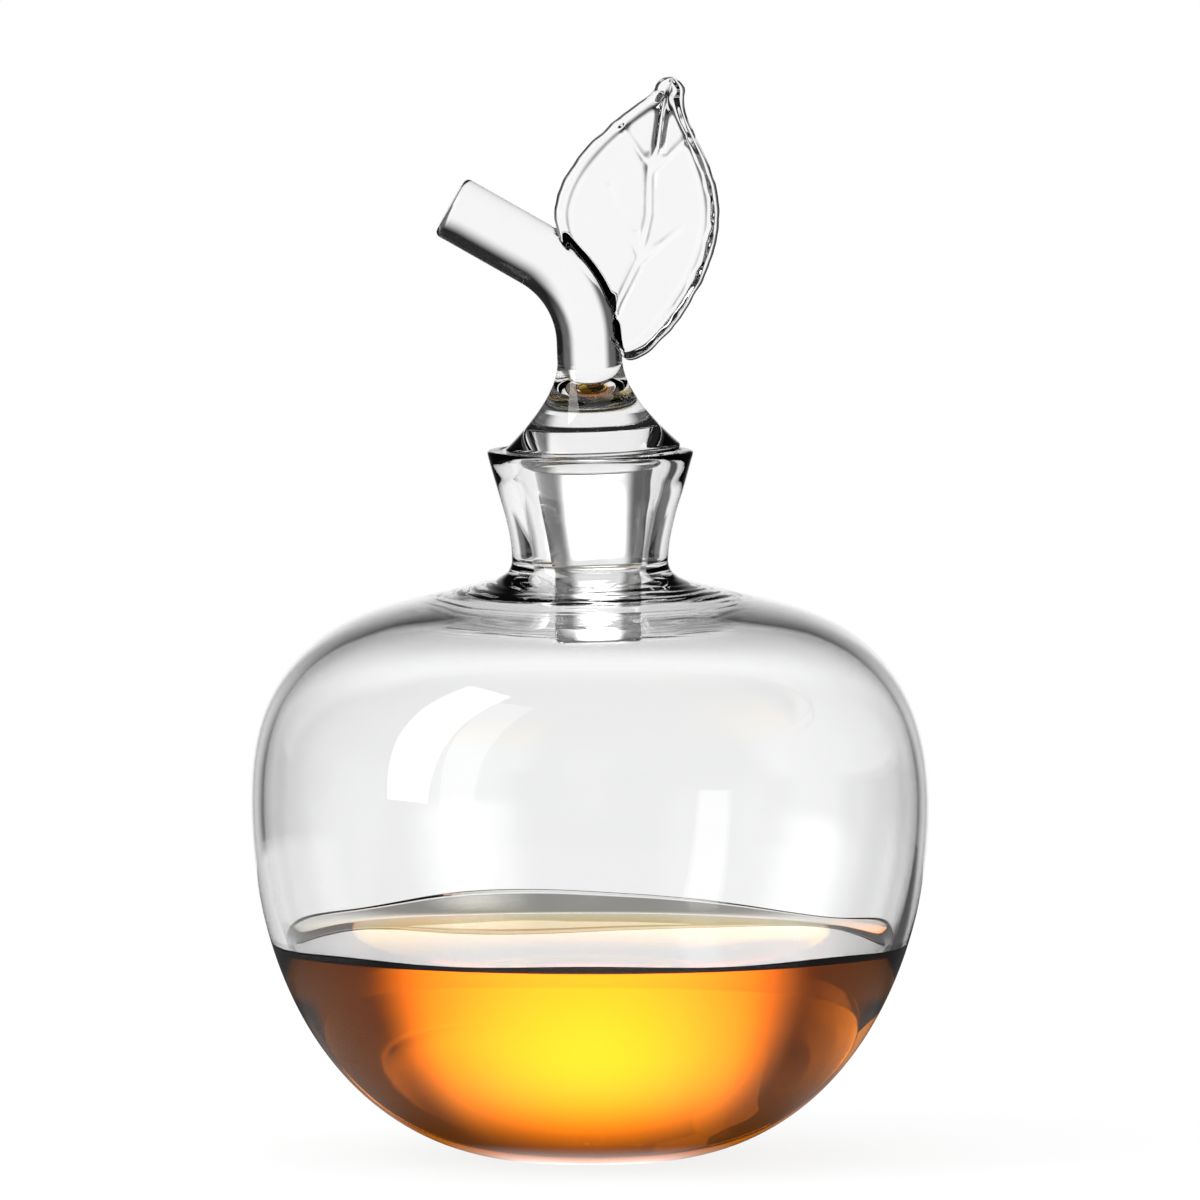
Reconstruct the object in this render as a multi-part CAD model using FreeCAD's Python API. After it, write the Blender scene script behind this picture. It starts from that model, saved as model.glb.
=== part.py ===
import FreeCAD, Part
import math
import os

# A blown glass decanter with a drink in it, and its one-piece stopper in the
# shape of a bent branch with a leaf.  Millimetres, +Z up, the front is -Y.
# The origin is on the turning axis, in the plane that the foot stands on.

# Bowl, outside
belly_radius = 72.5
belly_height = 74.2        # level of the widest ring
foot_radius = 20.8
heel_angle = 9.0           # degrees that the glass leaves the foot above level
ring_radius = 30.0         # where the dome turns up towards the neck
ring_rise = 47.0           # that ring above the widest one
ring_slope = 18.7          # degrees below level, outwards from that ring
heel_fullness = 0.70       # how far each curve runs on straight from its end
belly_fullness = 0.43
shoulder_fullness = 0.94
dome_fullness = 0.21

# Neck and rim, outside
neck_radius = 16.7
neck_rise = 6.9            # narrowest ring above the dome's ring
rim_radius = 22.25
rim_rise = 23.6            # rim above the narrowest ring
flare_angle = 13.4         # degrees off upright at the rim
rim_round = 0.7

# Glass
side_wall = 2.6
shoulder_glass = 3.4
base_glass = 4.0
heel_glass = 2.6           # how much smaller the flat inside floor is than the foot
foot_ring = 6.8            # flat ring that it stands on, round a shallow punt
punt_depth = 1.2
neck_glass = 4.3           # at the narrowest part of the bore
bore_drop = 2.6            # how far that part lies below the neck's narrowest ring
mouth_glass = 2.85         # thickness of the rim
seat_depth = 5.5           # straight cone inside the mouth
seat_taper = 23.0          # degrees off upright

# Drink
drink_level = 45.4

# Stopper, along its own axis
stopper_shift = 0.6        # it sits a little to one side in the mouth
stopper_lean = 2.0         # degrees, leaning towards the cut end of the branch
seat_gap = 0.2             # side clearance of the collar in the mouth
collar_edge = 1.0          # height of the collar's widest band
collar_under = 4.2         # depth of the collar below the rim
plug_clearance = 3.85      # from the plug's top to the lower edge of the seat
plug_end_clearance = 3.1   # from the plug's end to the narrowest bore
plug_length = 37.2         # below the rim
plug_end_round = 1.3
bell_height = 19.0         # from the rim up to the plain branch
bell_slope = 42.0          # degrees above level at the collar's edge

# Branch
branch_radius = 7.0
branch_rise = 4.4          # plain upright run above the bell
bend_radius = 22.3
bend_angle = 58.4
branch_reach = 21.3        # straight run after the bend
cut_round = 1.2

# Leaf, flat in the XZ plane: u runs from its base to its tip, v to its right
leaf_length = 61.3
leaf_right = 15.3
leaf_left = 20.2
leaf_widest = 29.5
leaf_tip_radius = 3.2
leaf_lean = 11.7           # degrees to the right of the stopper's axis
leaf_offset = 0.4          # base of the leaf outside the branch's side
leaf_rise = 0.8            # base of the leaf above the bell
leaf_thickness = 6.0
leaf_forward = 2.5         # its middle plane in front of the axis
leaf_edge_round = 2.2
panel_depth = 0.8          # the pressed panels on both sides of the midrib
panel_share = 0.80         # a panel's size, as a share of the leaf's outline
midrib_width = 3.0
vein_width = 1.6
vein_angle = 38.0          # degrees off the midrib
vein_places = (0.24, 0.43, 0.62)

# Places that follow from these
ring_height = belly_height + ring_rise
neck_height = ring_height + neck_rise
rim_height = neck_height + rim_rise
bore_radius = neck_radius - neck_glass
mouth_radius = rim_radius - mouth_glass
seat_radius = mouth_radius - seat_depth * math.tan(math.radians(seat_taper))
collar_radius = mouth_radius - stopper_shift - seat_gap
plug_radius = seat_radius - plug_clearance
plug_end_radius = bore_radius - plug_end_clearance


def point(radius, height):
    return FreeCAD.Vector(radius, 0, height)


def curve(start, start_handle, end_handle, end):
    bezier = Part.BezierCurve()
    bezier.setPoles([start, start_handle, end_handle, end])
    return bezier.toShape()


def line(start, end):
    return Part.LineSegment(start, end).toShape()


def turned(edges):
    profile = Part.Face(Part.Wire(edges))
    return profile.revolve(FreeCAD.Vector(0, 0, 0), FreeCAD.Vector(0, 0, 1), 360)


def along(angle, length):
    """A step of this length, at an angle in degrees above level."""
    slope = math.radians(angle)
    return FreeCAD.Vector(length * math.cos(slope), 0, length * math.sin(slope))


def bowl_curves(flat_radius, flat_height, wide_radius, dome):
    """The heel, side and shoulder, from the flat base up to the dome's ring."""
    flat = point(flat_radius, flat_height)
    widest = point(wide_radius, belly_height)
    rise = belly_height - flat_height
    reach = wide_radius - flat_radius
    heel = flat + along(heel_angle, heel_fullness * reach)
    lower = curve(flat, heel, point(wide_radius, belly_height - belly_fullness * rise), widest)
    climb = dome.z - belly_height
    shoulder = point(wide_radius, belly_height + shoulder_fullness * climb)
    crown = dome + along(-ring_slope, dome_fullness * (wide_radius - dome.x))
    upper = curve(widest, shoulder, crown, dome)
    return [lower, upper]


def neck_root(dome, throat):
    """The hollow curve from the dome's ring into the upright neck."""
    inward = dome + along(180 - ring_slope, 0.45 * (dome.x - throat.x))
    below = throat - point(0, 0.72 * (throat.z - dome.z))
    return curve(dome, inward, below, throat)


def outside():
    dome = point(ring_radius, ring_height)
    throat = point(neck_radius, neck_height)
    rim = point(rim_radius, rim_height)
    flare = along(90 - flare_angle, 0.3 * (rim_height - neck_height))
    edges = bowl_curves(foot_radius, 0, belly_radius, dome)
    edges.append(neck_root(dome, throat))
    edges.append(curve(throat, point(neck_radius, neck_height + flare.z), rim - flare, rim))
    edges.append(line(rim, point(0, rim_height)))
    edges.append(line(point(0, rim_height), point(0, 0)))
    edges.append(line(point(0, 0), point(foot_radius, 0)))
    return turned(edges)


def inside():
    floor_radius = foot_radius - heel_glass
    dome = point(ring_radius, ring_height - shoulder_glass / math.cos(math.radians(ring_slope)))
    throat = point(bore_radius, neck_height - bore_drop)
    seat = point(seat_radius, rim_height - seat_depth)
    mouth = point(mouth_radius, rim_height)
    step = 0.35 * (seat.z - throat.z)
    edges = [line(point(0, base_glass), point(floor_radius, base_glass))]
    edges += bowl_curves(floor_radius, base_glass, belly_radius - side_wall, dome)
    edges.append(neck_root(dome, throat))
    edges.append(curve(throat, throat + point(0, step), seat - along(90 - seat_taper, step), seat))
    edges.append(line(seat, mouth))
    edges.append(line(mouth, point(0, rim_height)))
    edges.append(line(point(0, rim_height), point(0, base_glass)))
    return turned(edges)


def punt():
    """A ball's cap that hollows the foot from below."""
    punt_radius = foot_radius - foot_ring
    ball_radius = (punt_radius ** 2 + punt_depth ** 2) / (2 * punt_depth)
    return Part.makeSphere(ball_radius, FreeCAD.Vector(0, 0, punt_depth - ball_radius))


def rim_edges(shape):
    found = []
    for edge in shape.Edges:
        box = edge.BoundBox
        level = abs(box.ZMin - rim_height) + abs(box.ZMax - rim_height)
        if level < 0.001 and box.XLength > 2 * bore_radius:
            found.append(edge)
    return found


def make_bottle(hollow):
    glass = outside().cut(hollow).cut(punt())
    return glass.makeFillet(rim_round, rim_edges(glass))


def make_drink(hollow):
    filled = Part.makeCylinder(2 * belly_radius, drink_level)
    return hollow.common(filled)


def stopper_body():
    """Plug, collar and bell, turned about the stopper's own axis."""
    band_bottom = point(collar_radius, rim_height)
    band_top = point(collar_radius, rim_height + collar_edge)
    under = point(plug_radius, rim_height - collar_under)
    end = rim_height - plug_length
    side = point(plug_end_radius, end + plug_end_round)
    tip = point(plug_end_radius - plug_end_round, end)
    bell_top = point(branch_radius, rim_height + bell_height)
    bell_reach = 0.3 * (collar_radius - branch_radius) + 0.1 * bell_height
    seat_side = along(90 - seat_taper, 0.5 * collar_under)
    plug_run = 0.4 * (under.z - side.z)
    edges = [
        line(point(0, end), tip),
        curve(tip, tip + point(0.55 * plug_end_round, 0), side - point(0, 0.55 * plug_end_round), side),
        curve(side, side + point(0, plug_run), under - along(78, plug_run), under),
        curve(under, under + point(2.4, 0), band_bottom - seat_side, band_bottom),
        line(band_bottom, band_top),
        curve(band_top, band_top + along(180 - bell_slope, bell_reach),
              bell_top - point(0, 0.34 * bell_height), bell_top),
        line(bell_top, point(0, bell_top.z)),
        line(point(0, bell_top.z), point(0, end)),
    ]
    return turned(edges)


def branch():
    """Upright run, bend and cut end, each a plain round solid."""
    start = rim_height + bell_height - 1
    bend_start = rim_height + bell_height + branch_rise
    upright = Part.makeCylinder(branch_radius, bend_start - start, FreeCAD.Vector(0, 0, start))
    ring = Part.Face(Part.Wire(Part.makeCircle(branch_radius, FreeCAD.Vector(0, 0, bend_start))))
    hub = FreeCAD.Vector(-bend_radius, 0, bend_start)
    bend = ring.revolve(hub, FreeCAD.Vector(0, -1, 0), bend_angle)
    run = along(90 + bend_angle, 1)
    bend_end = hub + along(bend_angle, bend_radius)
    reach = Part.makeCylinder(branch_radius, branch_reach, bend_end, run)
    cut_middle = bend_end + run * branch_reach
    cut_edges = []
    for edge in reach.Edges:
        if edge.CenterOfMass.distanceToPoint(cut_middle) < 0.001:
            cut_edges.append(edge)
    return upright.fuse([bend, reach.makeFillet(cut_round, cut_edges)])


def on_leaf(u, v):
    """A place on the leaf's middle plane, from its own u and v."""
    base = FreeCAD.Vector(branch_radius + leaf_offset, -leaf_forward, rim_height + bell_height + leaf_rise)
    return base + along(90 - leaf_lean, u) + along(-leaf_lean, v)


def leaf_outline(share=1.0):
    """The closed outline, shrunk about its middle to a share of its size."""
    def place(u, v):
        middle = 0.5 * leaf_length
        return on_leaf(middle + share * (u - middle), share * v)

    tip = leaf_length - leaf_tip_radius
    low, high = 0.5 * leaf_widest, leaf_widest + 0.5 * (tip - leaf_widest)
    point_right = place(tip, leaf_tip_radius)
    point_left = place(tip, -leaf_tip_radius)
    widest_right = place(leaf_widest, leaf_right)
    widest_left = place(leaf_widest, -leaf_left)
    base = place(0, 0)
    round_tip = Part.Arc(point_right, place(leaf_length, 0), point_left).toShape()
    return Part.Wire([
        curve(base, place(-0.05 * leaf_length, 0.27 * leaf_right), place(low, leaf_right), widest_right),
        curve(widest_right, place(high, leaf_right), place(high + 7, leaf_tip_radius), point_right),
        round_tip,
        curve(point_left, place(tip - 1.6, -leaf_tip_radius), place(high, -leaf_left), widest_left),
        curve(widest_left, place(0.75 * leaf_widest, -leaf_left),
              place(0.06 * leaf_length, -0.25 * leaf_left), base),
    ])


def strip(start, end, width):
    """An upright wall across the leaf, to leave a rib between two panels."""
    run = (end - start).normalize()
    side = run.cross(FreeCAD.Vector(0, 1, 0)) * (width / 2)
    back = FreeCAD.Vector(0, -leaf_thickness, 0)
    corners = [start - side + back, end - side + back, end + side + back, start + side + back]
    return Part.Face(Part.makePolygon(corners + corners[:1])).extrude(back * -2)


def ribs():
    found = [strip(on_leaf(-leaf_length, 0), on_leaf(2 * leaf_length, 0), midrib_width)]
    for order, place in enumerate(vein_places):
        root = place * leaf_length
        for side in (-1, 1):
            start = root + side * order
            reach = side * 2 * leaf_left
            far = on_leaf(start + 2 * leaf_left / math.tan(math.radians(vein_angle)), reach)
            found.append(strip(on_leaf(start, 0), far, vein_width))
    return found


def leaf():
    half = FreeCAD.Vector(0, leaf_thickness / 2, 0)
    outline = Part.Face(leaf_outline())
    outline.translate(half * -1)
    slab = outline.extrude(half * 2)
    long_edges = [edge for edge in slab.Edges if edge.BoundBox.YLength < 0.001]
    slab = slab.makeFillet(leaf_edge_round, long_edges)
    panel = Part.Face(leaf_outline(panel_share))
    depth = FreeCAD.Vector(0, panel_depth, 0)
    for face_side in (-1, 1):
        pocket = panel.extrude(depth)
        lift = half.y - panel_depth if face_side > 0 else -half.y
        pocket.translate(FreeCAD.Vector(0, lift, 0))
        slab = slab.cut(pocket.cut(ribs()))
    return slab


def make_stopper():
    whole = stopper_body().fuse([branch(), leaf()]).removeSplitter()
    pivot = FreeCAD.Vector(0, 0, rim_height)
    whole.rotate(pivot, FreeCAD.Vector(0, 1, 0), -stopper_lean)
    whole.translate(FreeCAD.Vector(stopper_shift, 0, 0))
    return whole


def save(name, shape):
    solids = shape.Solids
    box = shape.BoundBox
    print(name, "solids", len(solids), "valid", shape.isValid(), "volume", round(shape.Volume),
          "box", round(box.XMin, 1), round(box.XMax, 1), round(box.YMin, 1), round(box.YMax, 1),
          round(box.ZMin, 1), round(box.ZMax, 1))
    solids[0].exportStep("parts/" + name + ".step")


os.makedirs("parts", exist_ok=True)
cavity = inside()
save("bottle", make_bottle(cavity))
save("drink", make_drink(cavity))
save("stopper", make_stopper())
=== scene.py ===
import bpy
import bmesh
import math
from mathutils import Matrix, Vector, geometry, kdtree, noise


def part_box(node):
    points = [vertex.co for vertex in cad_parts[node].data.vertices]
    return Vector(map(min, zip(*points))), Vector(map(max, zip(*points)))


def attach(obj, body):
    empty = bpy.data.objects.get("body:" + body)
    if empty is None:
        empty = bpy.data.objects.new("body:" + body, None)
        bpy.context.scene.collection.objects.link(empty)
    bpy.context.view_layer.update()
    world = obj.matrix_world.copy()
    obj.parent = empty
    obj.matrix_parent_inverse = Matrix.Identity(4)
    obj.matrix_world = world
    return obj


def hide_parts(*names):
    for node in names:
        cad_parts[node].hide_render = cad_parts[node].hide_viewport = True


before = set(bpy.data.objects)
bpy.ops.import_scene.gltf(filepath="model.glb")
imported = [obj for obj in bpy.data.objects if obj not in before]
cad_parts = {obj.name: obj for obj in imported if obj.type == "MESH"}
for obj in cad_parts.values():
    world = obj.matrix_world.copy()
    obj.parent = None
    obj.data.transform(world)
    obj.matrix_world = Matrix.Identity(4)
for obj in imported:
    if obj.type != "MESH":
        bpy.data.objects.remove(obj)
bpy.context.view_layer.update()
scene = bpy.context.scene
scene.view_settings.view_transform = "Standard"
mm = 0.001

bottleLow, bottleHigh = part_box("bottle")
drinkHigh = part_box("drink")[1]
rimHeight = bottleHigh.z
bellyRadius = (bottleHigh.x - bottleLow.x) / 2


# camera and stage

camera = {
    "elevation": 4.8,
    "distance": 10.0,        # far off, with a long lens, so that hardly anything tapers
    "frameWidth": 0.257,     # what the picture takes in at the object
    "aimSide": 0.0021,
    "aimHeight": 0.1195,
    "sensor": 36.0,
    "sightEnd": 40.0,
}


def makeCamera():
    data = bpy.data.cameras.new("camera")
    data.sensor_width = camera["sensor"]
    data.lens = camera["sensor"] * camera["distance"] / camera["frameWidth"]
    data.clip_end = camera["sightEnd"]
    eye = bpy.data.objects.new("camera", data)
    tilt = math.radians(camera["elevation"])
    aim = Vector((camera["aimSide"], 0, camera["aimHeight"]))
    away = Vector((0, -math.cos(tilt), math.sin(tilt)))
    eye.location = aim + away * camera["distance"]
    eye.rotation_euler = (math.radians(90) - tilt, 0, 0)
    scene.collection.objects.link(eye)
    scene.camera = eye


# small helpers for shader nodes

def newNode(tree, kind, **inputs):
    node = tree.nodes.new(kind)
    for name, value in inputs.items():
        node.inputs[name.replace("_", " ")].default_value = value
    return node


def wire(tree, value, socket):
    if hasattr(value, "is_output"):
        tree.links.new(value, socket)
    else:
        socket.default_value = value


def sums(tree, operation, first, second=0.0):
    node = tree.nodes.new("ShaderNodeMath")
    node.operation = operation
    wire(tree, first, node.inputs[0])
    wire(tree, second, node.inputs[1])
    return node.outputs[0]


def ramp(tree, value, low, high, toLow=0.0, toHigh=1.0):
    # a soft step from one level to another
    node = tree.nodes.new("ShaderNodeMapRange")
    node.interpolation_type = "SMOOTHSTEP"
    wire(tree, value, node.inputs["Value"])
    node.inputs["From Min"].default_value = low
    node.inputs["From Max"].default_value = high
    node.inputs["To Min"].default_value = toLow
    node.inputs["To Max"].default_value = toHigh
    return node.outputs["Result"]


def blend(tree, share, first, second):
    node = tree.nodes.new("ShaderNodeMix")
    wire(tree, share, node.inputs[0])
    wire(tree, first, node.inputs[2])
    wire(tree, second, node.inputs[3])
    return node.outputs[0]


def seenDirectly(tree):
    # 1 for what the camera sees, also by reflection or through glass
    path = tree.nodes.new("ShaderNodeLightPath")
    shown = sums(tree, "MAXIMUM", path.outputs["Is Camera Ray"], path.outputs["Is Glossy Ray"])
    return sums(tree, "MAXIMUM", shown, path.outputs["Is Transmission Ray"])


# studio: a white table, a lit panel behind, one at the left and one opposite for the view from behind,
# and a dark room between them; angles are in degrees

studio = {
    "flag": 0.015,           # the dark room around
    "dim": 0.14,             # wall beside each lit panel
    "panel": 1.0,
    "horizon": 1.15,         # the panel just above the table's edge
    "skimmed": 1.75,         # and there, as the surface of the drink mirrors it
    "panelTop": 14.0,
    "panelFoot": -40.0,
    "spot": 6.0,             # strong soft lamp behind the drink
    "spotHeight": 13.0,
    "spotReach": 19.0,       # downward, in degrees
    "spotReachHigh": 14.5,
    "spotWidth": 17.0,
    "spotWidthHigh": 23.0,
    "soaked": 5.5,           # what came through the drink has crossed more surfaces than this
    "hollow": 2.5,           # and what came through both walls of the bowl more than this
    "fill": 0.9,             # what the floor is lit by
    "behindHalf": 22.0,
    "besideHalf": 12.0,
    "oppositeHalf": 16.0,
    "mirroredHalf": 12.0,    # the panel behind is this narrow where the glass mirrors it
    "mirroredSoft": (3, 5),  # how far in and out its edge runs then
    "mirroredRest": 0.1,     # and what is left beside it
    "faceSoft": (5, 7),
    "wallEnd": (14, 26),     # where the wall beside a panel fades out
    "topSoft": (12, 10),
    "footSoft": 15,
    "liftFrom": (0, 4),      # the lighter strip above the table's edge
    "liftTo": (5.5, 10),
    "liftLeft": 0.3,
    "widthFrom": (8, 34),    # between these heights the lamp's width changes
    "reachFrom": (10, 20),
    "spotEdge": 1.7,         # no light further out than this many widths
    "tableEdge": (-2, 2),
    "lampAim": 0.1,          # height in metres that the lamps point at
}


def spotGlow(tree, side, elevation):
    width = ramp(tree, elevation, *studio["widthFrom"], studio["spotWidth"], studio["spotWidthHigh"])
    reach = ramp(tree, elevation, *studio["reachFrom"], studio["spotReach"], studio["spotReachHigh"])
    offset = sums(tree, "SUBTRACT", elevation, studio["spotHeight"])
    across = sums(tree, "POWER", sums(tree, "DIVIDE", side, width), 2)
    upward = sums(tree, "POWER", sums(tree, "DIVIDE", offset, reach), 2)
    spread = sums(tree, "ADD", across, upward)
    glow = sums(tree, "EXPONENT", sums(tree, "MULTIPLY", spread, -1))
    end = studio["spotEdge"] * studio["spotWidth"]
    edge = ramp(tree, side, studio["spotWidth"], end, 1, 0)
    return sums(tree, "MULTIPLY", sums(tree, "MULTIPLY", glow, studio["spot"]), edge)


def panelLight(tree, half, azimuth, elevation, soaked, hollow):
    # one lit panel, from how far off its middle a direction is, in degrees
    side = sums(tree, "ABSOLUTE", azimuth)
    inner, outer = studio["faceSoft"]
    face = ramp(tree, side, half - inner, half + outer, studio["panel"], studio["dim"])
    lift = sums(tree, "MULTIPLY", hollow, ramp(tree, elevation, *studio["liftFrom"]))
    lift = sums(tree, "MULTIPLY", lift, ramp(tree, elevation, *studio["liftTo"], 1, studio["liftLeft"]))
    face = sums(tree, "MULTIPLY", face, sums(tree, "ADD", lift, 1))
    begin, end = studio["wallEnd"]
    around = ramp(tree, side, half + begin, half + end, 1, 0)
    below, above = studio["topSoft"]
    under = ramp(tree, elevation, studio["panelTop"] - below, studio["panelTop"] + above, 1, 0)
    over = ramp(tree, elevation, studio["panelFoot"] - studio["footSoft"], studio["panelFoot"], 0, 1)
    wall = sums(tree, "MULTIPLY", sums(tree, "MULTIPLY", face, around), sums(tree, "MULTIPLY", under, over))
    level = ramp(tree, elevation, *studio["tableEdge"])
    wall = blend(tree, sums(tree, "MULTIPLY", soaked, level), wall, studio["dim"])
    glow = sums(tree, "MULTIPLY", spotGlow(tree, side, elevation), soaked)
    return sums(tree, "ADD", wall, sums(tree, "MULTIPLY", glow, level))


def makeWorld():
    world = bpy.data.worlds.new("studio")
    scene.world = world
    world.use_nodes = True
    tree = world.node_tree
    tree.nodes.clear()
    direction = tree.nodes.new("ShaderNodeTexCoord")
    split = tree.nodes.new("ShaderNodeSeparateXYZ")
    tree.links.new(direction.outputs["Generated"], split.inputs[0])
    x, y, z = split.outputs[0], split.outputs[1], split.outputs[2]
    elevation = sums(tree, "DEGREES", sums(tree, "ARCSINE", z))
    behind = sums(tree, "DEGREES", sums(tree, "ARCTAN2", x, y))
    beside = sums(tree, "DEGREES", sums(tree, "ARCTAN2", y, sums(tree, "MULTIPLY", x, -1)))
    path = tree.nodes.new("ShaderNodeLightPath")
    soaked = sums(tree, "GREATER_THAN", path.outputs["Transmission Depth"], studio["soaked"])
    hollow = sums(tree, "GREATER_THAN", path.outputs["Transmission Depth"], studio["hollow"])
    skimmed = sums(tree, "GREATER_THAN", path.outputs["Glossy Depth"], 0.5)
    lift = blend(tree, skimmed, studio["horizon"] - studio["panel"], studio["skimmed"] - studio["panel"])
    hollow = sums(tree, "MULTIPLY", hollow, lift)
    left = panelLight(tree, studio["besideHalf"], beside, elevation, soaked, hollow)
    forward, sideways = sums(tree, "SUBTRACT", x, y), sums(tree, "ADD", x, y)
    opposite = sums(tree, "DEGREES", sums(tree, "ARCTAN2", sideways, forward))
    facing = panelLight(tree, studio["oppositeHalf"], opposite, elevation, soaked, hollow)
    extra = sums(tree, "MULTIPLY", sums(tree, "MAXIMUM", left, facing), path.outputs["Is Transmission Ray"])
    back = panelLight(tree, studio["behindHalf"], behind, elevation, soaked, hollow)
    light = sums(tree, "MAXIMUM", back, extra)
    half, (inner, outer) = studio["mirroredHalf"], studio["mirroredSoft"]
    narrow = ramp(tree, sums(tree, "ABSOLUTE", behind), half - inner, half + outer, 1, studio["mirroredRest"])
    narrow = blend(tree, path.outputs["Is Transmission Ray"], narrow, 1.0)
    light = sums(tree, "MAXIMUM", sums(tree, "MULTIPLY", light, narrow), studio["flag"])
    through = sums(tree, "MAXIMUM", path.outputs["Is Glossy Ray"], path.outputs["Is Transmission Ray"])
    room = blend(tree, through, studio["fill"], light)  # the floor sees even light
    seen = blend(tree, path.outputs["Is Camera Ray"], room, 1.0)  # the camera sees white
    background = newNode(tree, "ShaderNodeBackground", Color=(1, 1, 1, 1))
    output = tree.nodes.new("ShaderNodeOutputWorld")
    wire(tree, seen, background.inputs["Strength"])
    wire(tree, background.outputs[0], output.inputs["Surface"])


floor = {
    "radius": 0.55,
    "shadow": 0.14,
    "paper": (0.93, 0.93, 0.93, 1),
    "mirrored": 0.8,         # painted brightness of the paper in the glass's outer mirror image
    "paintedLightUnderFoot": 1.5,     # painted pool of light right under the foot, where the bowl gathers light
    # painted shade of the mirrored paper far off, and at the sides and behind
    "mirroredFar": 0.25,
    "mirroredSide": 0.25,
    "paintedShadowNearFoot": 0.07,       # painted shadow close round the foot, where the bowl shades it
    "shadowFrom": 0.12,      # this and the rings below are distances from the middle, in metres
    "farFrom": (0.44, 0.52),
    "footRing": (0.03, 0.08),
    "drinkFrom": (0.13, 0.2),
    "mirroredRing": (0.036, 0.06),
    "mirroredFootRing": (0.022, 0.034),
    "mirroredFarFrom": (0.11, 0.19),
    "sideFrom": (105, 160),  # degrees round from straight behind
    # painted shade and light seen through glass, as dark and bright sectors: degrees round from straight
    # behind, brightness near, far, and through the drink
    "round": [(-180, 0.15, 0.15, 0.15), (-112, 0.15, 0.15, 0.15), (-100, 1, 1, 1), (-80, 1, 1, 1),
              (-68, 1, 0.5, 1), (-34, 1, 0.5, 1), (-26, 1, 1, 0.3), (26, 1, 1, 0.3), (34, 0.1, 0.1, 0.1),
              (104, 0.1, 0.1, 0.1), (114, 1, 1, 1), (150, 1, 1, 1), (162, 0.15, 0.15, 0.15)],
}


def aroundFloor(tree, angle, column):
    # brightness by direction, as a soft ring of steps
    ring = tree.nodes.new("ShaderNodeValToRGB")
    ring.color_ramp.interpolation = "EASE"
    steps = ring.color_ramp.elements
    for stop in floor["round"][1:]:
        steps.new((stop[0] + 180) / 360).color = (stop[column], stop[column], stop[column], 1)
    for end in (steps[0], steps[-1]):
        end.color = (floor["round"][0][column],) * 3 + (1,)
    wire(tree, sums(tree, "DIVIDE", sums(tree, "ADD", angle, 180), 360), ring.inputs[0])
    return ring.outputs["Color"]


def floorMaterial():
    material = bpy.data.materials.new("floorPaper")
    material.use_nodes = True
    tree = material.node_tree
    tree.nodes.clear()
    output = tree.nodes.new("ShaderNodeOutputMaterial")
    paper = newNode(tree, "ShaderNodeBsdfDiffuse", Color=floor["paper"])
    # white for the camera; for mirrored rays and rays through glass its strength carries painted light and
    # shade
    white = newNode(tree, "ShaderNodeEmission", Strength=1.0)
    place = tree.nodes.new("ShaderNodeTexCoord")
    reach = tree.nodes.new("ShaderNodeVectorMath")
    reach.operation = "LENGTH"
    tree.links.new(place.outputs["Object"], reach.inputs[0])
    distance = reach.outputs["Value"]
    spot = tree.nodes.new("ShaderNodeSeparateXYZ")
    tree.links.new(place.outputs["Object"], spot.inputs[0])
    angle = sums(tree, "DEGREES", sums(tree, "ARCTAN2", spot.outputs[0], spot.outputs[1]))
    path = tree.nodes.new("ShaderNodeLightPath")
    far = ramp(tree, distance, *floor["farFrom"])
    # painted shade and light: the paper seen through glass is dark or bright by direction and distance, not
    # by how it is lit
    through = blend(tree, far, aroundFloor(tree, angle, 1), aroundFloor(tree, angle, 2))
    soaked = sums(tree, "GREATER_THAN", path.outputs["Transmission Depth"], studio["soaked"])
    soaked = sums(tree, "MULTIPLY", soaked, ramp(tree, distance, *floor["drinkFrom"]))
    through = blend(tree, soaked, through, aroundFloor(tree, angle, 3))
    # painted shadow round the foot, where glass shows the paper through it
    through = sums(tree, "MULTIPLY", through, ramp(tree, distance, *floor["footRing"], floor["paintedShadowNearFoot"], 1))
    # the same painted shadow where glass mirrors the paper
    mirrored = ramp(tree, distance, *floor["mirroredRing"], floor["paintedShadowNearFoot"], floor["mirrored"])
    # painted pool of light right under the foot, where glass mirrors the paper
    foot = ramp(tree, distance, *floor["mirroredFootRing"], floor["paintedLightUnderFoot"], 0)
    mirrored = sums(tree, "MAXIMUM", mirrored, foot)
    # painted shade: the mirrored paper is darker far off, and at the sides and behind
    mirrored = blend(tree, ramp(tree, distance, *floor["mirroredFarFrom"]), mirrored, floor["mirroredFar"])
    front = ramp(tree, sums(tree, "ABSOLUTE", angle), *floor["sideFrom"], floor["mirroredSide"], 1)
    mirrored = sums(tree, "MULTIPLY", mirrored, front)
    level = blend(tree, path.outputs["Is Glossy Ray"], 1.0, mirrored)
    level = blend(tree, path.outputs["Is Transmission Ray"], level, through)
    wire(tree, level, white.inputs["Strength"])
    share = ramp(tree, distance, floor["shadowFrom"], floor["radius"], 1 - floor["shadow"], 1)
    share = sums(tree, "MAXIMUM", share, sums(tree, "SUBTRACT", 1.0, path.outputs["Is Camera Ray"]))
    mixed = tree.nodes.new("ShaderNodeMixShader")
    wire(tree, sums(tree, "MULTIPLY", share, seenDirectly(tree)), mixed.inputs[0])
    wire(tree, paper.outputs[0], mixed.inputs[1])
    wire(tree, white.outputs[0], mixed.inputs[2])
    wire(tree, mixed.outputs[0], output.inputs["Surface"])
    return material


def makeFloor():
    shape = bmesh.new()
    bmesh.ops.create_circle(shape, cap_ends=True, segments=96, radius=floor["radius"])
    mesh = bpy.data.meshes.new("floor")
    shape.to_mesh(mesh)
    shape.free()
    mesh.materials.append(floorMaterial())
    ground = bpy.data.objects.new("floor", mesh)
    scene.collection.objects.link(ground)


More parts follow.
